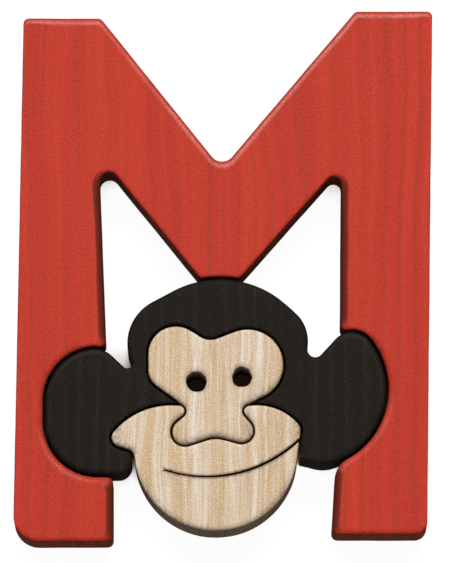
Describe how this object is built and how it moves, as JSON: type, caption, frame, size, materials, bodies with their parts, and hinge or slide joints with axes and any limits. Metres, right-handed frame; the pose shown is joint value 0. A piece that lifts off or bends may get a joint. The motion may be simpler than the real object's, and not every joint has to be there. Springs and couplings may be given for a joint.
{
  "type": "alphabet animal puzzle",
  "caption": "Flat wooden puzzle: a letter M with an ape's head let in between its legs; the head, its face and its muzzle are separate pieces that lift straight out.",
  "frame": {"origin": "middle of the puzzle's outline on its flat back, which lies on the table", "axes": "+Z out of the painted front, +Y to the top of the letter, +X to the right as the letter is read"},
  "size_m": [0.101, 0.1288, 0.019],
  "materials": {
    "red_stained_ash": "satin stain, grain showing",
    "black_stained_ash": "matte stain",
    "clear_finished_ash": "clear satin"
  },
  "bodies": {
    "letter": {"letter": "red_stained_ash"},
    "head": {"head": "black_stained_ash"},
    "face": {"face": "clear_finished_ash"},
    "muzzle": {"muzzle": "clear_finished_ash"}
  },
  "joints": [
    {"name": "head_lift", "type": "slide", "parent": "letter", "child": "head", "axis": [0, 0, 1], "range_m": [0, 0.03]},
    {"name": "face_lift", "type": "slide", "parent": "head", "child": "face", "axis": [0, 0, 1], "range_m": [0, 0.03]},
    {"name": "muzzle_lift", "type": "slide", "parent": "head", "child": "muzzle", "axis": [0, 0, 1], "range_m": [0, 0.03]}
  ]
}
